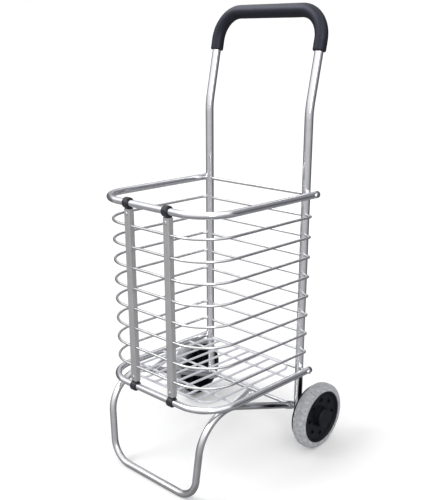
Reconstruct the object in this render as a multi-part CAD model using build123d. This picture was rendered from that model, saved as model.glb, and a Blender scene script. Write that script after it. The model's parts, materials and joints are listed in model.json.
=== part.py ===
"""Two-wheeled folding shopping trolley: tube frame, wire basket, leg stand.

Everything is drawn in the trolley's own upright frame, with the wheel axle at
the origin, +X along the axle, -Y towards the front and +Z along the uprights.
place() then leans the whole trolley back until the wheels and the leg stand
share one floor, and moves the origin to the middle of its footprint.
"""

from build123d import *
from math import asin, atan2, cos, degrees, hypot, radians, sin
import os

# ---------------------------------------------------------------- driving sizes, mm
WHEEL_DIAMETER = 150.0
TYRE_WIDTH = 30.0
WHEEL_TRACK = 388.0          # between the middles of the two tyres
AXLE_DIAMETER = 8.0
HUB_RADIUS = 60.0
HUB_BOSS_RADIUS = 23.0
HUB_CAP_HEIGHT = 9.0
HUB_FLANGE = 5.0             # how far the inner flange laps over the tyre, and how thick it is

FRAME_TUBE = 18.0
TUBE_WALL = 1.2
UPRIGHT_SPACING = 278.0      # between the two upright centre lines
HANDLE_BEND_HEIGHT = 655.0   # where the uprights lean back, above the axle
HANDLE_LEAN = 12.0           # degrees
HANDLE_LENGTH = 191.0        # from that bend to the handle bar, along the slope
HANDLE_CORNER = 56.0
GRIP_DIAMETER = 27.0
GRIP_SIDE = 78.0             # how far the foam runs down each side

BASKET_DEPTH = 312.0         # rear pivots to front pivots, the same for every layer
BOTTOM_RIM_HEIGHT = 97.0
RIM_TUBE = 14.0
RIM_WIDTH = 320.0
RIM_CORNER = 74.0
RIM_ROD = 7.0
RING_COUNT = 8
RING_WIRE = 5.5
RING_WIDTH = 314.0
RING_CORNER = 80.0
RING_PITCH = 43.0
BOTTOM_RIM_TO_RING = 46.0
TOP_RIM_TO_RING = 45.0

FLOOR_WIRE = 5.0
FLOOR_WIRE_PITCH = 31.5
FLOOR_WIRES_INSIDE = 7
FLOOR_CROSS_PITCH = 86.5
FLOOR_FIRST_CROSS = -57.0    # rearmost cross wire, from the rear pivots
FLOOR_REAR = -12.0           # ends of the loop that carries the long wires
FLOOR_FRONT = -279.0
FLOOR_CORNER = 26.0

CHANNEL_SPACING = 113.0
CHANNEL_WIDTH = 16.0
CHANNEL_DEPTH = 12.5
CHANNEL_SHEET = 1.5

LEG_TUBE = 15.0
LEG_REACH = 320.0            # bottom bar in front of the axle
LEG_DROP = 102.0             # bottom bar below the axle
LEG_TOP_WIDTH = 244.0        # at the axle
LEG_KNEE_WIDTH = 293.0
LEG_WIDTH = 252.0            # at the floor
LEG_KNEE = (-307.5, 114.0)   # Y and Z where the rising run turns down
LEG_KNEE_RADIUS = 79.0
LEG_FOOT_RADIUS = 50.0
CATCH_FOOT = -205.0          # Y of the riveted end, on the rising run
CATCH_TIP = (-158.0, 90.5)   # Y and Z of the free end

RIVET = 4.0
RIVET_HEAD = 7.0
RIVET_HEAD_HEIGHT = 1.6

# ---------------------------------------------------------------- worked-out sizes
SLIP = 0.05                  # radial gap of parts that are pushed together
PIVOT_GAP = 0.35             # radial gap of wires that turn in drilled holes
WHEEL_RADIUS = WHEEL_DIAMETER / 2
UPRIGHT_X = UPRIGHT_SPACING / 2
WHEEL_X = WHEEL_TRACK / 2
RIM_X = RIM_WIDTH / 2
CHANNEL_X = CHANNEL_SPACING / 2
RING_BASE = BOTTOM_RIM_HEIGHT + BOTTOM_RIM_TO_RING
RING_HEIGHTS = [RING_BASE + RING_PITCH * i for i in reversed(range(RING_COUNT))]
TOP_RIM_HEIGHT = RING_HEIGHTS[0] + TOP_RIM_TO_RING
RIM_HEIGHTS = {"top": TOP_RIM_HEIGHT, "bottom": BOTTOM_RIM_HEIGHT}
SIDES = {"left": -1, "right": 1}

# the floor carries half the trolley's weight on the leg stand's bottom bar
LEAN = degrees(
    asin((LEG_TUBE / 2 - WHEEL_RADIUS) / hypot(LEG_REACH, LEG_DROP)) + atan2(LEG_DROP, LEG_REACH)
)

os.makedirs("parts", exist_ok=True)
parts = {}


# ---------------------------------------------------------------- helpers
def bent_rod(points, radii, diameter, bore=0.0):
    """A round bar or tube along straight runs joined by tangent arcs."""
    path = FilletPolyline(*points, radius=radii)
    section = Circle(diameter / 2)
    if bore:
        section -= Circle(bore / 2)
    return sweep(Plane(path @ 0, z_dir=path % 0) * section, path)


def x_cylinder(diameter, x0, x1, y=0.0, z=0.0):
    """A round bar along X from x0 to x1."""
    return Pos((x0 + x1) / 2, y, z) * Rot(Y=90) * Cylinder(diameter / 2, abs(x1 - x0))


def y_cylinder(diameter, y0, y1, x, z):
    """A round bar along Y from y0 to y1."""
    return Pos(x, (y0 + y1) / 2, z) * Rot(X=90) * Cylinder(diameter / 2, abs(y1 - y0))


def domed(bar, axis, end, radius):
    """Round off one end of a round bar: end 1 is its far end along the axis, -1 its near end."""
    rims = bar.edges().filter_by(GeomType.CIRCLE).sort_by(axis)
    return fillet(rims[-1 if end > 0 else 0], radius)


def x_turned(points, x=0.0, side=1):
    """A turned piece about the X axis from (radius, distance outwards) corners."""
    outline = make_face(Polyline(*points, close=True))
    turned = revolve(Plane.XZ * outline, Axis.Z)
    return Pos(x, 0, 0) * Rot(Y=90 * side) * turned


# ---------------------------------------------------------------- frame and handle
def handle_point(distance):
    """Height and setback of a point on the sloping part of the frame."""
    slope = radians(HANDLE_LEAN)
    return distance * sin(slope), HANDLE_BEND_HEIGHT + distance * cos(slope)


def frame_route(start_points, distance=HANDLE_LENGTH):
    """Corner points up the left side, across the handle and down the right side."""
    y, z = handle_point(distance)
    left = start_points + [(-UPRIGHT_X, y, z)]
    return left + [(-x, y, z) for x, y, z in reversed(left)]


def make_frame():
    below_axle = 12.0
    bend_radius = 150.0
    route = frame_route([(-UPRIGHT_X, 0, -below_axle), (-UPRIGHT_X, 0, HANDLE_BEND_HEIGHT)])
    radii = [bend_radius, HANDLE_CORNER, HANDLE_CORNER, bend_radius]
    tube = bent_rod(route, radii, FRAME_TUBE, bore=FRAME_TUBE - 2 * TUBE_WALL)
    reach = UPRIGHT_X + FRAME_TUBE
    for z in RING_HEIGHTS:
        tube -= x_cylinder(RING_WIRE + 2 * PIVOT_GAP, -reach, reach, z=z)
    for z in RIM_HEIGHTS.values():
        tube -= x_cylinder(RIM_ROD + 2 * PIVOT_GAP, -reach, reach, z=z)
    tube -= x_cylinder(AXLE_DIAMETER + 2 * SLIP, -reach, reach)
    parts["frame_tube"] = tube

    head_height = 2.5
    stem_height = 6.0
    stem_radius = FRAME_TUBE / 2 - TUBE_WALL - SLIP
    stem = Pos(0, 0, (stem_height - head_height) / 2) * Cylinder(stem_radius, stem_height + head_height)
    head = Pos(0, 0, -head_height / 2) * Cylinder(FRAME_TUBE / 2, head_height)
    plugs = Part()
    for side in SIDES.values():
        plugs += Pos(side * UPRIGHT_X, 0, -below_axle) * (stem + head)
    parts["upright_foot_plugs"] = plugs


def make_grip():
    y, z = handle_point(HANDLE_LENGTH - GRIP_SIDE)
    route = frame_route([(-UPRIGHT_X, y, z)])
    parts["handle_grip"] = bent_rod(
        route, [HANDLE_CORNER] * 2, GRIP_DIAMETER, bore=FRAME_TUBE + 2 * SLIP
    )


# ---------------------------------------------------------------- basket
def loop_points(width, rear, front, z):
    """Corners of a closed loop, starting in the middle of the rear side."""
    half = width / 2
    return [(0, rear, z), (half, rear, z), (half, front, z), (-half, front, z), (-half, rear, z)]


def make_rim(name, z):
    rear_end = 6.0
    rod_overhang = 1.0
    route = [
        (RIM_X, rear_end, z),
        (RIM_X, -BASKET_DEPTH, z),
        (-RIM_X, -BASKET_DEPTH, z),
        (-RIM_X, rear_end, z),
    ]
    bore = RIM_TUBE - 2 * TUBE_WALL
    tube = bent_rod(route, [RIM_CORNER] * 2, RIM_TUBE, bore=bore)
    rod_end = RIM_X + RIM_TUBE / 2 + rod_overhang
    hole_end = rod_end + SLIP
    rod_hole = x_cylinder(RIM_ROD + 2 * SLIP, -hole_end, hole_end, z=z)

    cap_front = -9.0
    cap_rear = 14.0
    cap_lip = 0.4
    cap_rounding = 4.5
    nut_wall = 1.25
    nut_height = 3.4
    nut_sunk = 0.8
    nut_rounding = 1.5
    nut_diameter = RIM_ROD + 2 * nut_wall
    caps = Part()
    nuts = Part()
    for side in SIDES.values():
        x = side * RIM_X
        head = y_cylinder(RIM_TUBE + 2 * cap_lip, rear_end + SLIP, cap_rear, x, z)
        head = domed(head, Axis.Y, 1, cap_rounding)
        stem = y_cylinder(bore - 2 * SLIP, cap_front, rear_end + 1, x, z)
        caps += head + stem - rod_hole
        nut_inner = side * (RIM_X + RIM_TUBE / 2 - nut_sunk)
        nut_outer = nut_inner + side * nut_height
        nut = x_cylinder(nut_diameter, nut_inner, nut_outer, z=z)
        nuts += domed(nut, Axis.X, side, nut_rounding) - rod_hole
        tube -= x_cylinder(nut_diameter + 2 * SLIP, nut_inner, nut_outer, z=z)
    parts[f"{name}_rim_tube"] = tube - rod_hole
    parts[f"{name}_rim_end_caps"] = caps
    parts[f"{name}_rim_rod"] = x_cylinder(RIM_ROD, -rod_end, rod_end, z=z)
    parts[f"{name}_rim_rod_nuts"] = nuts


def make_rings():
    rear_corner = 8.0
    radii = [rear_corner, RING_CORNER, RING_CORNER, rear_corner]
    for number, z in enumerate(RING_HEIGHTS, start=1):
        start, *corners = loop_points(RING_WIDTH, 0, -BASKET_DEPTH, z)
        half_route = [start, *corners[:2], (0, -BASKET_DEPTH, z)]
        half = bent_rod(half_route, radii[:2], RING_WIRE)
        parts[f"wire_ring_{number}"] = half + mirror(half, Plane.YZ)


def make_floor():
    z = BOTTOM_RIM_HEIGHT
    sunk = 1.5
    cross_end = RIM_X - RIM_TUBE / 2 + sunk
    for i, name in enumerate(["rear", "middle", "front"]):
        y = FLOOR_FIRST_CROSS - FLOOR_CROSS_PITCH * i
        wire = x_cylinder(FLOOR_WIRE, -cross_end, cross_end, y, z)
        parts[f"floor_cross_wire_{name}"] = wire
        hole = x_cylinder(FLOOR_WIRE + 2 * SLIP, -cross_end - 1, cross_end + 1, y, z)
        parts["bottom_rim_tube"] -= hole

    loop_z = z + FLOOR_WIRE + SLIP
    loop_width = FLOOR_WIRE_PITCH * (FLOOR_WIRES_INSIDE + 1)
    start, *corners = loop_points(loop_width, FLOOR_REAR, FLOOR_FRONT, loop_z)
    half_route = [start, *corners[:2], (0, FLOOR_FRONT, loop_z)]
    half = bent_rod(half_route, [FLOOR_CORNER] * 2, FLOOR_WIRE)
    parts["floor_loop"] = half + mirror(half, Plane.YZ)

    inset = FLOOR_WIRE / 2 + SLIP
    wires = Part()
    for i in range(FLOOR_WIRES_INSIDE):
        x = FLOOR_WIRE_PITCH * (i + 1) - loop_width / 2
        wires += y_cylinder(FLOOR_WIRE, FLOOR_FRONT + inset, FLOOR_REAR - inset, x, loop_z)
    parts["floor_long_wires"] = wires


# ---------------------------------------------------------------- front channels
def make_channel(name, side):
    x = side * CHANNEL_X
    clip_wall = 4.0
    end_gap = 1.0
    bend = 2.0
    clip_diameter = RIM_TUBE + 2 * clip_wall
    bottom = BOTTOM_RIM_HEIGHT + clip_diameter / 2 + end_gap
    top = TOP_RIM_HEIGHT - clip_diameter / 2 - end_gap
    web_front = -BASKET_DEPTH - RING_WIRE / 2 - PIVOT_GAP - CHANNEL_SHEET
    middle_y = web_front + CHANNEL_DEPTH / 2
    middle_z = (top + bottom) / 2
    height = top - bottom

    outer = Pos(x, middle_y, middle_z) * Box(CHANNEL_WIDTH, CHANNEL_DEPTH, height)
    outer = fillet(outer.edges().filter_by(Axis.Z).group_by(Axis.Y)[0], bend)
    inside_width = CHANNEL_WIDTH - 2 * CHANNEL_SHEET
    inside = Pos(x, middle_y + CHANNEL_SHEET, middle_z) * Box(inside_width, CHANNEL_DEPTH, height + 2)
    channel = outer - inside
    for z in RING_HEIGHTS:
        hole = RING_WIRE + 2 * PIVOT_GAP
        channel -= x_cylinder(hole, x - CHANNEL_WIDTH, x + CHANNEL_WIDTH, -BASKET_DEPTH, z)

    rivets = Part()
    rivet_offset = 21.0
    for where, rim_z in RIM_HEIGHTS.items():
        inwards = 1 if where == "bottom" else -1
        rivet_z = rim_z + inwards * rivet_offset
        clip, head_back = make_clip(x, rim_z, inwards, clip_diameter, inside_width, web_front)
        hole = y_cylinder(RIVET + 2 * SLIP, web_front - 1, head_back + 1, x, rivet_z)
        parts[f"{where}_clip_{name}"] = clip - hole
        channel -= hole
        rivets += make_rivet(x, rivet_z, web_front, head_back)
    parts[f"front_channel_{name}"] = channel
    parts[f"clip_rivets_{name}"] = rivets


def make_clip(x, rim_z, inwards, diameter, width, web_front):
    """A moulded eye round the rim tube with a tongue inside the channel."""
    tongue_width = width - 2 * SLIP
    tongue_front = web_front + CHANNEL_SHEET + SLIP
    tongue_back = web_front + CHANNEL_DEPTH - 1
    tongue_end = 30.0
    edge_rounding = 1.5
    eye = x_cylinder(diameter, x - tongue_width / 2, x + tongue_width / 2, -BASKET_DEPTH, rim_z)
    eye = fillet(eye.edges().filter_by(GeomType.CIRCLE), edge_rounding)
    neck_length = tongue_end - RIM_TUBE / 2 - 2
    neck_z = rim_z + inwards * (tongue_end - neck_length / 2)
    neck = Pos(x, (tongue_front + tongue_back) / 2, neck_z) * Box(
        tongue_width, tongue_back - tongue_front, neck_length
    )
    clip = eye + neck
    clip -= x_cylinder(RIM_TUBE + 2 * PIVOT_GAP, x - width, x + width, -BASKET_DEPTH, rim_z)
    return clip, tongue_back


def make_rivet(x, z, front, back):
    """A domed rivet through the channel web and the clip tongue."""
    shank = y_cylinder(RIVET, front - RIVET_HEAD_HEIGHT / 2, back + RIVET_HEAD_HEIGHT / 2, x, z)
    front_head = y_cylinder(RIVET_HEAD, front - RIVET_HEAD_HEIGHT, front - SLIP, x, z)
    front_head = domed(front_head, Axis.Y, -1, 0.7 * RIVET_HEAD_HEIGHT)
    back_head = y_cylinder(RIVET_HEAD, back + SLIP, back + RIVET_HEAD_HEIGHT, x, z)
    return shank + front_head + back_head


# ---------------------------------------------------------------- leg stand
def make_leg_stand():
    top_x = LEG_TOP_WIDTH / 2
    knee_x = LEG_KNEE_WIDTH / 2
    foot_x = LEG_WIDTH / 2
    knee_y, knee_z = LEG_KNEE
    ear_length = 22.0
    ear_thickness = 5.0
    ear_height = 18.0
    axle_to_tube = 16.0
    run_start = axle_to_tube / hypot(knee_y, knee_z)
    start = (top_x + (knee_x - top_x) * run_start, knee_y * run_start, knee_z * run_start)
    right = [start, (knee_x, knee_y, knee_z), (foot_x, -LEG_REACH, -LEG_DROP)]
    left = [(-x, y, z) for x, y, z in reversed(right)]
    radii = [LEG_KNEE_RADIUS, LEG_FOOT_RADIUS, LEG_FOOT_RADIUS, LEG_KNEE_RADIUS]
    tube = bent_rod(right + left, radii, LEG_TUBE, bore=LEG_TUBE - 2 * TUBE_WALL)

    slope = degrees(atan2(knee_z, -knee_y))
    for side in SIDES.values():
        ear = side_blade(ear_length, ear_height, ear_thickness)
        tube += Pos(side * top_x, 0, 0) * Rot(X=-slope) * Pos(0, -ear_length / 2, 0) * ear
    tube -= x_cylinder(AXLE_DIAMETER + 2 * PIVOT_GAP, -UPRIGHT_X, UPRIGHT_X)
    parts["leg_stand"] = tube
    make_leg_catches()


def side_blade(length, height, thickness):
    """A flat strip with round ends, running along Y and facing sideways."""
    strip = extrude(SlotCenterToCenter(length, height), thickness / 2, both=True)
    return Rot(Z=90) * Rot(X=90) * strip


def make_leg_catches():
    """Pressed strips with raised borders, riveted to the inner sides of the legs' rising runs."""
    thickness = 4.5
    web = 1.5
    border = 2.0
    width = 15.0
    side_gap = 0.8
    run_share = CATCH_FOOT / LEG_KNEE[0]
    foot = (CATCH_FOOT, LEG_KNEE[1] * run_share)
    leg_x = (LEG_TOP_WIDTH + (LEG_KNEE_WIDTH - LEG_TOP_WIDTH) * run_share) / 2
    strip_x = leg_x - LEG_TUBE / 2 - side_gap - thickness / 2
    inner = strip_x - thickness / 2
    rise_y = CATCH_TIP[0] - foot[0]
    rise_z = CATCH_TIP[1] - foot[1]
    middle = ((CATCH_TIP[0] + foot[0]) / 2, (CATCH_TIP[1] + foot[1]) / 2)
    length = hypot(rise_y, rise_z)
    strip = side_blade(length, width, thickness)
    pocket = side_blade(length, width - 2 * border, (thickness - web) / 2)
    for face in SIDES.values():
        strip -= Pos(face * (thickness + web) / 4, 0, 0) * pocket
    strip = Rot(X=degrees(atan2(rise_z, rise_y))) * strip

    hole = x_cylinder(RIVET + 2 * SLIP, -leg_x, leg_x, *foot)
    rivets = Part()
    for name, side in SIDES.items():
        parts[f"leg_catch_{name}"] = Pos(side * strip_x, *middle) * strip - hole
        head_end = side * (inner - RIVET_HEAD_HEIGHT)
        rivets += x_cylinder(RIVET_HEAD, side * (inner - SLIP), head_end, *foot)
        rivets += x_cylinder(RIVET, side * leg_x, head_end, *foot)
    parts["leg_stand"] -= hole
    parts["leg_catch_rivets"] = rivets


# ---------------------------------------------------------------- wheels
def make_wheel(name, side):
    half_width = TYRE_WIDTH / 2
    shoulder = 9.0
    x = side * WHEEL_X
    section = Rectangle(TYRE_WIDTH, WHEEL_RADIUS - HUB_RADIUS)
    profile = Pos(0, (HUB_RADIUS + WHEEL_RADIUS) / 2) * section
    profile = fillet(profile.vertices().group_by(Axis.Y)[-1], shoulder)
    parts[f"tyre_{name}"] = Pos(x, 0, 0) * revolve(profile, Axis.X)

    bore = AXLE_DIAMETER / 2 + PIVOT_GAP
    inner_boss = 15.0
    web_inner = 5.0
    web_outer = 10.0
    rim_wall = 4.0
    rim_inset = 1.0
    rim_radius = HUB_RADIUS - SLIP
    band_radius = HUB_RADIUS - rim_wall
    flange_radius = HUB_RADIUS + HUB_FLANGE
    flange_inner = -half_width - HUB_FLANGE
    flange_outer = -half_width - SLIP
    corners = [
        (bore, flange_inner),
        (inner_boss, flange_inner),
        (inner_boss, web_inner),
        (band_radius, web_inner),
        (band_radius, flange_inner),
        (flange_radius, flange_inner),
        (flange_radius, flange_outer),
        (rim_radius, flange_outer),
        (rim_radius, half_width - rim_inset),
        (band_radius, half_width - rim_inset),
        (band_radius - rim_wall / 2, web_outer),
        (HUB_BOSS_RADIUS + rim_inset, web_outer),
        (HUB_BOSS_RADIUS, half_width),
        (bore, half_width),
    ]
    hub = x_turned(corners, x, side)

    spoke_count = 8
    rib_thickness = 3.0
    rib_depth = 14.0
    rib_length = band_radius - inner_boss + 2
    rib_middle = (band_radius + inner_boss) / 2
    rib_x = x + side * (web_inner - rib_depth / 2)
    rib = Pos(rib_x, rib_middle, 0) * Box(rib_depth, rib_length, rib_thickness)

    hole_ring = 40.0
    hole_radius = 4.5
    hole_depth = 4.0
    collar_wall = 1.6
    collar_height = 0.8
    collar_top = x + side * (web_outer + collar_height)
    hole_floor = x + side * (web_outer - hole_depth)
    collar = x_cylinder(2 * (hole_radius + collar_wall), x + side * web_inner, collar_top, hole_ring)
    hole = x_cylinder(2 * hole_radius, hole_floor, collar_top, hole_ring)
    for i in range(spoke_count):
        turn = Rot(X=360 * i / spoke_count)
        hub = hub + turn * rib + turn * collar - turn * hole
    parts[f"wheel_hub_{name}"] = hub


def make_axle():
    spacer_diameter = 14.0
    washer_diameter = 18.0
    washer_thickness = 1.5
    end_gap = 0.4
    cap_rounding = 3.5
    axle_overhang = 5.0
    upright_face = UPRIGHT_X + FRAME_TUBE / 2
    outer_face = WHEEL_X + TYRE_WIDTH / 2
    hub_face = WHEEL_X - TYRE_WIDTH / 2 - HUB_FLANGE
    washer_outer = hub_face - end_gap
    washer_inner = washer_outer - washer_thickness
    axle_end = outer_face + axle_overhang
    parts["axle"] = x_cylinder(AXLE_DIAMETER, -axle_end, axle_end)

    reach = outer_face + HUB_CAP_HEIGHT
    bore = x_cylinder(AXLE_DIAMETER + 2 * SLIP, -reach, reach)
    spacers = Part()
    washers = Part()
    for name, side in SIDES.items():
        spacer_start = side * (upright_face + end_gap)
        spacers += x_cylinder(spacer_diameter, spacer_start, side * (washer_inner - SLIP)) - bore
        washers += x_cylinder(washer_diameter, side * washer_inner, side * washer_outer) - bore
        cap_inner = outer_face + end_gap
        cap_diameter = 2 * HUB_BOSS_RADIUS - 2
        dome = x_cylinder(cap_diameter, side * cap_inner, side * (cap_inner + HUB_CAP_HEIGHT))
        dome = domed(dome, Axis.X, side, cap_rounding)
        hollow = x_cylinder(AXLE_DIAMETER + 2 * SLIP, 0, side * (axle_end + SLIP))
        parts[f"axle_cap_{name}"] = dome - hollow
    parts["axle_spacers"] = spacers
    parts["axle_washers"] = washers


# ---------------------------------------------------------------- the whole trolley
def make_all():
    make_frame()
    make_grip()
    for name, z in RIM_HEIGHTS.items():
        make_rim(name, z)
    make_rings()
    make_floor()
    make_leg_stand()
    for name, side in SIDES.items():
        make_channel(name, side)
        make_wheel(name, side)
    make_axle()


def place():
    """Where the trolley's own frame stands over its footprint."""
    leaned = Compound(children=[Rot(X=-LEAN) * Part(piece.wrapped) for piece in parts.values()])
    box = leaned.bounding_box()
    return Pos(0, -(box.min.Y + box.max.Y) / 2, WHEEL_RADIUS) * Rot(X=-LEAN)


make_all()
placement = place()
for node, piece in parts.items():
    export_step(placement * piece, f"parts/{node}.step")
print("lean", round(LEAN, 4), "axle at", placement.position)
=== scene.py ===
import json
import math

import bpy
from mathutils import Matrix, Vector, noise


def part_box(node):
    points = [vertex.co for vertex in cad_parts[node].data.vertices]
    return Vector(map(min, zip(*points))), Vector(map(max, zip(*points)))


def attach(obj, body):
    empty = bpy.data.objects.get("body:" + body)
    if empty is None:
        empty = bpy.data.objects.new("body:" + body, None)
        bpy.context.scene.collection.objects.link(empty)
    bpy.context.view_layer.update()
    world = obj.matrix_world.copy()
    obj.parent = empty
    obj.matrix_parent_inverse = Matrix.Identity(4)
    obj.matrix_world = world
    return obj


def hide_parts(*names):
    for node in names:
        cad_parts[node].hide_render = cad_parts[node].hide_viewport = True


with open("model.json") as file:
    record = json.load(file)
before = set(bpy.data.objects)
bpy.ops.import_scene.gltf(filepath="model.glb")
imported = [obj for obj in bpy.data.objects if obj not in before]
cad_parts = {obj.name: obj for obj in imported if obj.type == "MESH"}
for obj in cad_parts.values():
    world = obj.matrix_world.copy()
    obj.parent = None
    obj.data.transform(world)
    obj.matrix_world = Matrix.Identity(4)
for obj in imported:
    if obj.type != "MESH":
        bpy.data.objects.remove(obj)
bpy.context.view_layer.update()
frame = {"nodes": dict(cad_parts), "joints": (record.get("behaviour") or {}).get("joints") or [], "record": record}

MM = 0.001

# ---------------------------------------------------------------- the trolley's own leaning frame
JOINTS = {joint["name"]: joint for joint in frame["joints"]}


def joint_point(name):
    """A joint's place, moved to the trolley's middle plane."""
    _, y, z = JOINTS[name]["pos_m"]
    return Vector((0.0, y, z))


AXLE_POINT = joint_point("wheel_right_spin")
UPRIGHT_DIRECTION = (joint_point("top_rim_fold") - AXLE_POINT).normalized()
LEAN = math.atan2(UPRIGHT_DIRECTION.y, UPRIGHT_DIRECTION.z)
# from the leaning frame, with the axle at its origin and the uprights along Z, to the row's frame
CART = Matrix.Translation(AXLE_POINT) @ Matrix.Rotation(-LEAN, 4, "X")

# wheel sizes, from the tyre's box and the axle's height
TYRE_LOW, TYRE_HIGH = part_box("tyre_right")
WHEEL_X = (TYRE_LOW.x + TYRE_HIGH.x) / 2
TYRE_HALF_WIDTH = (TYRE_HIGH.x - TYRE_LOW.x) / 2
WHEEL_RADIUS = AXLE_POINT.z

# sizes that part.py uses as well
HUB_RADIUS = 60 * MM
UPRIGHT_X = 139 * MM
TUBE_RADIUS = 9 * MM
HANDLE_BEND_HEIGHT = 655 * MM
HANDLE_LEAN = math.radians(12)
HANDLE_LENGTH = 191 * MM
HANDLE_CORNER = 56 * MM
GRIP_RADIUS = 13.5 * MM
GRIP_SIDE = 78 * MM

# the grip's centre line: a straight stretch, a corner and half the bar, and the same mirrored
GRIP_STRAIGHT = GRIP_SIDE - HANDLE_CORNER
GRIP_QUARTER = HANDLE_CORNER * math.pi / 2
GRIP_BAR = 2 * (UPRIGHT_X - HANDLE_CORNER)
GRIP_LENGTH = 2 * (GRIP_STRAIGHT + GRIP_QUARTER) + GRIP_BAR


# ---------------------------------------------------------------- node helpers
class Nodes:
    """A short way to write a node tree."""

    def __init__(self, tree, coordinates):
        self.tree = tree
        self.coordinates = self.add("ShaderNodeTexCoord").outputs[coordinates]

    def add(self, kind, **settings):
        node = self.tree.nodes.new(kind)
        for key, value in settings.items():
            setattr(node, key, value)
        return node

    def link(self, source, target):
        self.tree.links.new(source, target)

    def along(self, axis):
        """One of the three coordinates."""
        node = self.add("ShaderNodeSeparateXYZ")
        self.link(self.coordinates, node.inputs["Vector"])
        return node.outputs[axis]

    def scaled(self, stretch):
        mapping = self.add("ShaderNodeMapping")
        mapping.inputs["Scale"].default_value = stretch
        self.link(self.coordinates, mapping.inputs["Vector"])
        return mapping.outputs["Vector"]

    def noise(self, scale, detail=3.0, roughness=0.55, stretch=None):
        node = self.add("ShaderNodeTexNoise")
        node.inputs["Scale"].default_value = scale
        node.inputs["Detail"].default_value = detail
        node.inputs["Roughness"].default_value = roughness
        self.link(self.scaled(stretch) if stretch else self.coordinates, node.inputs["Vector"])
        return node.outputs["Fac"]

    def cells(self, scale):
        """Distance to the nearest of many scattered points."""
        node = self.add("ShaderNodeTexVoronoi")
        node.inputs["Scale"].default_value = scale
        self.link(self.coordinates, node.inputs["Vector"])
        return node.outputs["Distance"]

    def ramp(self, value, stops):
        """A colour for a value, from (position, colour) stops."""
        node = self.add("ShaderNodeValToRGB")
        elements = node.color_ramp.elements
        while len(elements) < len(stops):
            elements.new(0.5)
        for element, (position, colour) in zip(elements, stops):
            element.position = position
            element.color = (*colour, 1.0)
        self.link(value, node.inputs["Fac"])
        return node.outputs["Color"]

    def range(self, value, low, high, start=0.3, end=0.7):
        """From low to high as the value goes from start to end."""
        node = self.add("ShaderNodeMapRange")
        node.inputs["From Min"].default_value = start
        node.inputs["From Max"].default_value = end
        node.inputs["To Min"].default_value = low
        node.inputs["To Max"].default_value = high
        self.link(value, node.inputs["Value"])
        return node.outputs["Result"]

    def between(self, share, first, second):
        """A plain value between two others."""
        node = self.add("ShaderNodeMix")
        for socket, value in ((0, share), (2, first), (3, second)):
            self.link(value, node.inputs[socket])
        return node.outputs[0]

    def mix(self, share, first, second, blend="MIX"):
        """A colour made of two others; each of the three may be a socket or a constant."""
        node = self.add("ShaderNodeMix", data_type="RGBA", blend_type=blend)
        for socket, value in ((0, share), (6, first), (7, second)):
            if isinstance(value, bpy.types.NodeSocket):
                self.link(value, node.inputs[socket])
            elif socket == 0:
                node.inputs[socket].default_value = value
            else:
                node.inputs[socket].default_value = (*value, 1.0)
        return node.outputs[2]

    def bump(self, height, distance, strength, under=None):
        node = self.add("ShaderNodeBump")
        node.inputs["Strength"].default_value = strength
        node.inputs["Distance"].default_value = distance
        self.link(height, node.inputs["Height"])
        if under:
            self.link(under, node.inputs["Normal"])
        return node.outputs["Normal"]


class Surface(Nodes):
    """The node tree of one material, with its shader."""

    def __init__(self, name):
        self.material = bpy.data.materials.new(name)
        self.material.use_nodes = True
        super().__init__(self.material.node_tree, "Object")
        self.shader = self.tree.nodes["Principled BSDF"]

    def set(self, **values):
        """Constants on the shader's own sockets."""
        for key, value in values.items():
            self.shader.inputs[key.replace("_", " ")].default_value = value

    def finish(self, colour, roughness=None, normal=None):
        self.link(colour, self.shader.inputs["Base Color"])
        if roughness:
            self.link(roughness, self.shader.inputs["Roughness"])
        if normal:
            self.link(normal, self.shader.inputs["Normal"])
        return self.material


# ---------------------------------------------------------------- materials
def drawn_texture(look):
    """The smudges and the fine drawing marks of drawn aluminium."""
    smudge = look.noise(38.0, detail=5.0)
    fine = look.noise(260.0, detail=4.0, roughness=0.7)
    return smudge, fine


def bright_aluminium(name, bright, dull, smooth, rough, marks=0.12):
    """Drawn aluminium: soft haze, faint smudges and fine drawing marks."""
    look = Surface(name)
    look.set(Metallic=1.0)
    smudge, fine = drawn_texture(look)
    colour = look.ramp(smudge, [(0.25, dull), (0.7, bright)])
    roughness = look.range(smudge, smooth, rough)
    return look.finish(colour, roughness, look.bump(fine, 0.04 * MM, marks))


def ring_wire():
    """Drawn wire of the basket rings, with painted shade darkening the runs behind the uprights, which are also
    rougher.
    """
    # depths behind the middle between which the rear runs fade into painted shade
    unshaded_until, shaded_from = 85 * MM, 105 * MM
    look = Surface("bright_wire")
    look.set(Metallic=1.0)
    smudge, fine = drawn_texture(look)
    behind = look.range(look.along("Y"), 0.0, 1.0, unshaded_until, shaded_from)
    # painted shade: the rear runs get a darker copy of the wire's colour, mixed in by depth behind the uprights
    unshaded = look.ramp(smudge, [(0.25, (0.72, 0.725, 0.73)), (0.7, (0.81, 0.81, 0.815))])
    rear_painted_shade = look.ramp(smudge, [(0.25, (0.60, 0.60, 0.605)), (0.7, (0.72, 0.72, 0.725))])
    roughness = look.between(behind, look.range(smudge, 0.19, 0.28), look.range(smudge, 0.32, 0.42))
    return look.finish(look.mix(behind, unshaded, rear_painted_shade), roughness, look.bump(fine, 0.04 * MM, 0.12))


def satin_wire():
    """Pale blue-white zinc on the floor wires, brighter and duller than the drawn rings."""
    look = Surface("floor_wire")
    look.set(Metallic=0.35)
    cloud = look.noise(50.0, detail=4.0)
    grain = look.noise(600.0, detail=3.0)
    colour = look.ramp(cloud, [(0.3, (0.66, 0.66, 0.71)), (0.7, (0.78, 0.78, 0.83))])
    roughness = look.range(cloud, 0.36, 0.5)
    return look.finish(colour, roughness, look.bump(grain, 0.03 * MM, 0.25))


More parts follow.
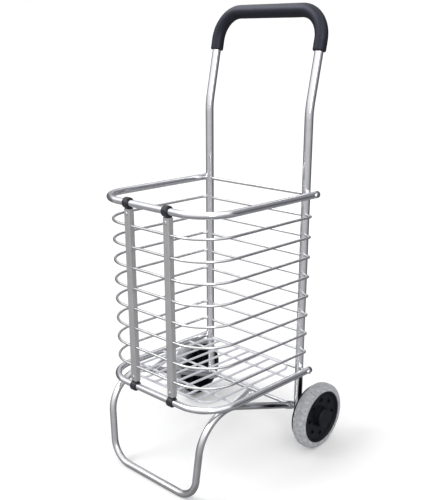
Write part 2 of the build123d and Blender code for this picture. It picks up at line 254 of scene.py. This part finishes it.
def channel_aluminium():
    """Matte anodised sheet with rolling marks and small scuffs."""
    look = Surface("channel_metal")
    look.set(Metallic=0.55)
    rolled = look.noise(60.0, detail=6.0, roughness=0.65, stretch=(9.0, 9.0, 0.5))
    blotch = look.noise(22.0, detail=4.0)
    scuff = look.range(look.noise(420.0, detail=2.0), 0.0, 1.0, 0.66, 0.74)
    base = look.ramp(blotch, [(0.3, (0.385, 0.385, 0.39)), (0.7, (0.45, 0.45, 0.455))])
    colour = look.mix(scuff, base, (0.62, 0.62, 0.63))
    roughness = look.range(rolled, 0.42, 0.58)
    return look.finish(colour, roughness, look.bump(rolled, 0.06 * MM, 0.5))


def plated_steel():
    """Zinc-plated steel with a faint spangle."""
    look = Surface("steel")
    look.set(Metallic=1.0)
    spangle = look.cells(320.0)
    colour = look.ramp(spangle, [(0.0, (0.5, 0.51, 0.53)), (0.8, (0.66, 0.67, 0.69))])
    roughness = look.range(look.noise(55.0), 0.28, 0.42)
    return look.finish(colour, roughness, look.bump(spangle, 0.05 * MM, 0.3))


def foam():
    """Closed-cell foam: a dark lumpy skin with fine pores and a soft bluish gloss."""
    look = Surface("foam")
    look.set(Specular_IOR_Level=0.62, Specular_Tint=(0.74, 0.77, 1.0, 1.0))
    pores = look.cells(1500.0)
    lumps = look.noise(260.0, detail=4.0, roughness=0.6)
    patches = look.noise(30.0, detail=3.0)
    colour = look.ramp(patches, [(0.3, (0.003, 0.003, 0.004)), (0.7, (0.006, 0.006, 0.008))])
    roughness = look.range(lumps, 0.42, 0.54)
    skin = look.bump(lumps, 0.2 * MM, 0.4)
    return look.finish(colour, roughness, look.bump(pores, 0.12 * MM, 0.45, skin))


def moulded_plastic(name, dark, light, smooth, rough, specular=0.5):
    """Injection-moulded plastic with a fine spark-eroded texture."""
    look = Surface(name)
    look.set(Specular_IOR_Level=specular)
    texture = look.noise(900.0, detail=2.0, roughness=0.6)
    cloud = look.noise(45.0, detail=3.0)
    colour = look.ramp(cloud, [(0.3, dark), (0.75, light)])
    roughness = look.range(cloud, smooth, rough)
    return look.finish(colour, roughness, look.bump(texture, 0.08 * MM, 0.4))


def tyre_rubber():
    """Grey foamed rubber, mottled by its pressed granules, with pale flecks and some dust."""
    look = Surface("tyre_rubber")
    granules = look.cells(330.0)
    mottle = look.noise(170.0, detail=4.0, roughness=0.65)
    cloud = look.noise(34.0, detail=3.0)
    base = look.ramp(mottle, [
        (0.32, (0.21, 0.215, 0.23)),
        (0.5, (0.31, 0.32, 0.34)),
        (0.68, (0.44, 0.45, 0.47)),
    ])
    dusty = look.mix(look.range(cloud, 0.0, 0.3), base, (0.35, 0.355, 0.365))
    fleck = look.range(granules, 0.5, 0.0, 0.0, 0.25)
    colour = look.mix(fleck, dusty, (0.48, 0.485, 0.50))
    roughness = look.range(mottle, 0.55, 0.75)
    return look.finish(colour, roughness, look.bump(granules, 0.2 * MM, 0.35))


def make_materials():
    return {
        "bright_tube": bright_aluminium(
            "bright_tube", bright=(0.90, 0.90, 0.92), dull=(0.82, 0.83, 0.85), smooth=0.09, rough=0.17
        ),
        # painted shade: a darker, rougher copy of bright_tube for the leg stand
        "shaded_leg_tube": bright_aluminium(
            "shaded_leg_tube", bright=(0.80, 0.80, 0.81), dull=(0.72, 0.72, 0.73),
            smooth=0.15, rough=0.24, marks=0.05,
        ),
        "bright_wire": ring_wire(),
        "floor_wire": satin_wire(),
        "catch_metal": bright_aluminium(
            "catch_metal", bright=(0.92, 0.92, 0.95), dull=(0.84, 0.84, 0.87), smooth=0.2, rough=0.3
        ),
        "rivet_metal": bright_aluminium(
            "rivet_metal", bright=(0.92, 0.92, 0.93), dull=(0.82, 0.82, 0.83), smooth=0.22, rough=0.34
        ),
        "channel_metal": channel_aluminium(),
        "steel": plated_steel(),
        "foam": foam(),
        "black_plastic": moulded_plastic(
            "black_plastic", dark=(0.012, 0.012, 0.016), light=(0.022, 0.022, 0.03), smooth=0.3, rough=0.42
        ),
        "dark_plastic": moulded_plastic(
            "dark_plastic", dark=(0.05, 0.052, 0.062), light=(0.08, 0.083, 0.095), smooth=0.28, rough=0.42
        ),
        "hub_plastic": moulded_plastic(
            "hub_plastic", dark=(0.004, 0.005, 0.008), light=(0.008, 0.009, 0.014),
            smooth=0.3, rough=0.44, specular=0.22,
        ),
        "tyre_rubber": tyre_rubber(),
    }


MATERIALS = make_materials()
SHADED_COPIES = {"leg_stand": "shaded_leg_tube"}    # nodes that get a darker copy of their slot's material: painted shade on the leg stand


def dress_cad_nodes():
    slots = {entry["node"]: entry["material_slot"] for entry in frame["record"]["subparts"]}
    for name, node in frame["nodes"].items():
        node.data.materials.clear()
        node.data.materials.append(MATERIALS[SHADED_COPIES.get(name, slots[name])])


# ---------------------------------------------------------------- mesh helpers
def new_object(name, vertices, faces, slot):
    mesh = bpy.data.meshes.new(name)
    mesh.from_pydata(vertices, [], faces)
    mesh.polygons.foreach_set("use_smooth", [True] * len(mesh.polygons))
    mesh.materials.append(MATERIALS[slot])
    mesh.update()
    made = bpy.data.objects.new(name, mesh)
    bpy.context.scene.collection.objects.link(made)
    return made


def ring_faces(rings, around, closed):
    """Quads between neighbouring rings of points, and from last to first if closed."""
    faces = []
    for i in range(rings if closed else rings - 1):
        a = i * around
        b = ((i + 1) % rings) * around
        for j in range(around):
            k = (j + 1) % around
            faces.append((a + j, a + k, b + k, b + j))
    return faces


# ---------------------------------------------------------------- the foam grip
GRIP_AROUND = 56
GRIP_STEP = 2.2 * MM
GRIP_BORE = TUBE_RADIUS + 0.1 * MM
# the rounded mouth of the sleeve: distance from its end in millimetres, and share of the wall
GRIP_MOUTH = ((3.0, 0.0), (0.6, 0.08), (0.05, 0.5), (0.35, 0.82), (1.1, 0.95), (2.4, 1.0))
SWELL = 0.012    # share by which the middle of the bar is thicker
LUMP_HEIGHT = 0.12 * MM
LUMPS_PER_METRE = 60
CREASE_DEPTH = 0.35 * MM
CREASE_PITCH = 7.0 * MM


def handle_path(distance):
    """Point, inward direction and turn so far on the grip's centre line, in the handle's plane."""
    mirrored = distance > GRIP_LENGTH / 2
    s = GRIP_LENGTH - distance if mirrored else distance
    if s < GRIP_STRAIGHT:
        turn = 0.0
        x = -UPRIGHT_X
        up = HANDLE_LENGTH - GRIP_SIDE + s
    elif s < GRIP_STRAIGHT + GRIP_QUARTER:
        turn = (s - GRIP_STRAIGHT) / HANDLE_CORNER
        x = HANDLE_CORNER - UPRIGHT_X - HANDLE_CORNER * math.cos(turn)
        up = HANDLE_LENGTH - HANDLE_CORNER + HANDLE_CORNER * math.sin(turn)
    else:
        turn = math.pi / 2
        x = HANDLE_CORNER - UPRIGHT_X + s - GRIP_STRAIGHT - GRIP_QUARTER
        up = HANDLE_LENGTH
    inward = Vector((math.cos(turn), -math.sin(turn)))
    if mirrored:
        x = -x
        inward.x = -inward.x
    return Vector((x, up)), inward, turn


def handle_to_world(point, off_plane=0.0):
    """A point of the handle's sloping plane, moved off the plane, in the row's frame."""
    across, up = math.sin(HANDLE_LEAN), math.cos(HANDLE_LEAN)
    y = point.y * across - off_plane * up
    z = HANDLE_BEND_HEIGHT + point.y * up + off_plane * across
    return CART @ Vector((point.x, y, z))


def grip_stations():
    """Distance along the sleeve and its radius there, from inside one mouth to inside the other."""
    mouth = [(inset * MM, GRIP_BORE + (GRIP_RADIUS - GRIP_BORE) * share) for inset, share in GRIP_MOUTH]
    start = mouth[-1][0]
    full = GRIP_LENGTH - 2 * start
    count = int(full / GRIP_STEP)
    middle = [(start + full * i / count, GRIP_RADIUS) for i in range(1, count)]
    return mouth + middle + [(GRIP_LENGTH - inset, radius) for inset, radius in reversed(mouth)]


def grip_relief(distance, turn, angle):
    """Small lumps all over, and creases on the inner side of the corners."""
    place = Vector((distance * LUMPS_PER_METRE, math.cos(angle) * 2, math.sin(angle) * 2))
    wave = 0.5 + 0.5 * math.cos(distance / CREASE_PITCH * 2 * math.pi)
    inner_side = max(0.0, math.cos(angle))
    return LUMP_HEIGHT * noise.noise(place) - CREASE_DEPTH * math.sin(2 * turn) * inner_side**3 * wave


def make_grip():
    """The foam sleeve: rounded mouths, slightly swollen, with soft creases inside its bends."""
    stations = grip_stations()
    vertices = []
    for distance, radius in stations:
        centre, inward, turn = handle_path(distance)
        swell = 1.0 + SWELL * math.sin(distance / GRIP_LENGTH * math.pi)
        for j in range(GRIP_AROUND):
            angle = 2 * math.pi * j / GRIP_AROUND
            relief = grip_relief(distance, turn, angle) if radius == GRIP_RADIUS else 0.0
            r = radius * swell + relief
            in_plane = centre + inward * (r * math.cos(angle))
            vertices.append(handle_to_world(in_plane, r * math.sin(angle)))
    faces = ring_faces(len(stations), GRIP_AROUND, False)
    grip = new_object("handle_foam", vertices, faces, "foam")
    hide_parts("handle_grip")
    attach(grip, "frame")


# ---------------------------------------------------------------- the tyres
TYRE_AROUND = 128
TREAD_STEPS = 48
# powers under 1 make the tyre's section squarer than an ellipse
WIDTH_POWER = 0.62
DEPTH_POWER = 0.8
PARTING_LINE = 0.25 * MM
EDGE_TUCK = 0.2 * MM       # the tyre's edges reach this far into the hub's rim


def lathe(name, profile, x, side, body, slot):
    """A closed (outward distance, radius) profile turned about the axle."""
    vertices = []
    for out, radius in profile:
        for j in range(TYRE_AROUND):
            angle = 2 * math.pi * j / TYRE_AROUND
            point = Vector((x + side * out, radius * math.cos(angle), radius * math.sin(angle)))
            vertices.append(CART @ point)
    faces = ring_faces(len(profile), TYRE_AROUND, True)
    if side > 0:
        faces = [tuple(reversed(face)) for face in faces]
    turned = new_object(name, vertices, faces, slot)
    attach(turned, body)
    return turned


def tyre_profile():
    """Rounded tread with a faint parting line."""
    depth = WHEEL_RADIUS - HUB_RADIUS
    profile = []
    for i in range(TREAD_STEPS + 1):
        turn = math.pi * i / TREAD_STEPS
        c, s = math.cos(turn), math.sin(turn)
        out = TYRE_HALF_WIDTH * math.copysign(abs(c) ** WIDTH_POWER, c)
        radius = HUB_RADIUS + depth * s**DEPTH_POWER
        if i == TREAD_STEPS // 2:
            radius += PARTING_LINE
        if i in (0, TREAD_STEPS):
            radius -= EDGE_TUCK
        profile.append((out, radius))
    return profile


def make_tyres():
    profile = tyre_profile()
    for name, side in (("left", -1), ("right", 1)):
        tyre = lathe(f"tyre_skin_{name}", profile, side * WHEEL_X, side, f"wheel_{name}", "tyre_rubber")
        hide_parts(f"tyre_{name}")


# ---------------------------------------------------------------- floor and studio
FLOOR_HALF_SIZE = 14.0

# how bright the room is, from straight down at 0 to straight up at 1
ROOM_LEVELS = (
    (0.0, (0.20, 0.20, 0.21)),
    (0.17, (0.24, 0.24, 0.25)),
    (0.27, (0.42, 0.42, 0.43)),
    (0.42, (0.52, 0.52, 0.53)),
    (0.50, (0.60, 0.60, 0.61)),
    (0.62, (0.90, 0.90, 0.91)),
    (0.72, (1.15, 1.15, 1.16)),
)

# direction to each dark patch of the room, in the trolley's own frame, the cosines between
# which it fades in, and how much light it leaves
DARK_PATCHES = (
    ((0.35, 0.85, 0.20), 0.70, 0.84, (0.25, 0.25, 0.27)),        # behind
    ((0.93, 0.35, -0.05), 0.84, 0.95, (0.68, 0.68, 0.70)),       # right
    ((-0.71, -0.70, -0.14), 0.86, 0.96, (0.66, 0.66, 0.67)),     # front left
    ((-0.60, 0.72, 0.20), 0.60, 0.92, (0.55, 0.55, 0.57)),       # behind left
    ((-0.97, 0.06, -0.06), 0.84, 0.92, (0.30, 0.30, 0.29)),      # left
)

# what diffuse rays and the camera see instead of that room
DIFFUSE_LEVEL = (0.92, 0.92, 0.92)
WHITE = (1.0, 1.0, 1.0)


def make_floor():
    size = FLOOR_HALF_SIZE
    corners = [(-size, -size, 0), (size, -size, 0), (size, size, 0), (-size, size, 0)]
    mesh = bpy.data.meshes.new("floor")
    mesh.from_pydata(corners, [], [(0, 1, 2, 3)])
    floor = bpy.data.objects.new("floor", mesh)
    bpy.context.scene.collection.objects.link(floor)
    look = Surface("floor_paper")
    look.set(Roughness=0.9)
    tone = look.ramp(look.noise(3.0), [(0.2, (0.96, 0.96, 0.96)), (0.8, (0.98, 0.98, 0.98))])
    mesh.materials.append(look.finish(tone))
    floor.visible_glossy = False


def make_world():
    """A pale studio: reflections see a bright ceiling, a grey floor zone and dark walls."""
    world = bpy.data.worlds.new("studio")
    bpy.context.scene.world = world
    world.use_nodes = True
    room = Nodes(world.node_tree, "Generated")
    light = room.ramp(room.range(room.along("Z"), 0.0, 1.0, -1.0, 1.0), ROOM_LEVELS)
    for direction, start, end, shade in DARK_PATCHES:
        towards = room.add("ShaderNodeVectorMath", operation="DOT_PRODUCT")
        towards.inputs[1].default_value = CART.to_3x3() @ Vector(direction).normalized()
        room.link(room.coordinates, towards.inputs[0])
        wall = room.ramp(towards.outputs["Value"], [(start, WHITE), (end, shade)])
        light = room.mix(1.0, light, wall, blend="MULTIPLY")
    seen = room.add("ShaderNodeLightPath")
    for ray, level in (("Is Diffuse Ray", DIFFUSE_LEVEL), ("Is Camera Ray", WHITE)):
        light = room.mix(seen.outputs[ray], light, level)
    background = world.node_tree.nodes["Background"]
    background.inputs["Strength"].default_value = 1.0
    room.link(light, background.inputs["Color"])


# ---------------------------------------------------------------- lights and camera
BASKET_MIDDLE = Vector((0.0, 0.0, 0.4))
HANDLE_BAR = handle_to_world(Vector((0.0, HANDLE_LENGTH)))
STRIP_OFFSET = Vector((-0.30, -0.02, 0.34))

# in the trolley's own frame
CAMERA_PLACE = Vector((1.0968, -1.2524, 0.7900))
CAMERA_AZIMUTH = math.radians(43.9)
CAMERA_ELEVATION = math.radians(20.4)
LENS = 55.0
SENSOR = 36.0
SHIFT = 0.144


def aimed_light(name, kind, place, power, aim=BASKET_MIDDLE):
    light = bpy.data.lights.new(name, kind)
    light.energy = power
    lamp = bpy.data.objects.new(name, light)
    lamp.location = place
    lamp.rotation_euler = (aim - Vector(place)).to_track_quat("-Z", "Y").to_euler()
    bpy.context.scene.collection.objects.link(lamp)
    return lamp


def panel_light(name, place, power, width, height, aim=BASKET_MIDDLE):
    lamp = aimed_light(name, "AREA", place, power, aim)
    lamp.data.shape = "RECTANGLE"
    lamp.data.size = width
    lamp.data.size_y = height
    return lamp


def make_lights():
    key = aimed_light("key", "SUN", (-1.6, -1.5, 3.0), power=0.9)
    key.data.angle = math.radians(24)
    panel_light("fill", (2.2, -1.2, 1.7), power=14.0, width=0.8, height=1.6)
    # a faint gloss along the top of the handle bar
    strip = panel_light(
        "strip", HANDLE_BAR + STRIP_OFFSET, power=1.0, width=0.6, height=0.35, aim=HANDLE_BAR
    )
    strip.visible_diffuse = False
    strip.visible_camera = False


def make_camera():
    back = Vector((
        math.sin(CAMERA_AZIMUTH) * math.cos(CAMERA_ELEVATION),
        -math.cos(CAMERA_AZIMUTH) * math.cos(CAMERA_ELEVATION),
        math.sin(CAMERA_ELEVATION),
    ))
    right = Vector((math.cos(CAMERA_AZIMUTH), math.sin(CAMERA_AZIMUTH), 0.0))
    turn = Matrix((right, back.cross(right), back)).transposed()
    camera = bpy.data.objects.new("camera", bpy.data.cameras.new("camera"))
    camera.matrix_world = CART @ Matrix.Translation(CAMERA_PLACE) @ turn.to_4x4()
    camera.data.sensor_width = SENSOR
    camera.data.lens = LENS
    camera.data.shift_y = SHIFT
    camera.data.clip_start = 0.05
    camera.data.clip_end = 100.0
    bpy.context.scene.collection.objects.link(camera)
    bpy.context.scene.camera = camera


dress_cad_nodes()
make_grip()
make_tyres()
make_floor()
make_world()
make_lights()
make_camera()
bpy.context.scene.view_settings.view_transform = "Standard"
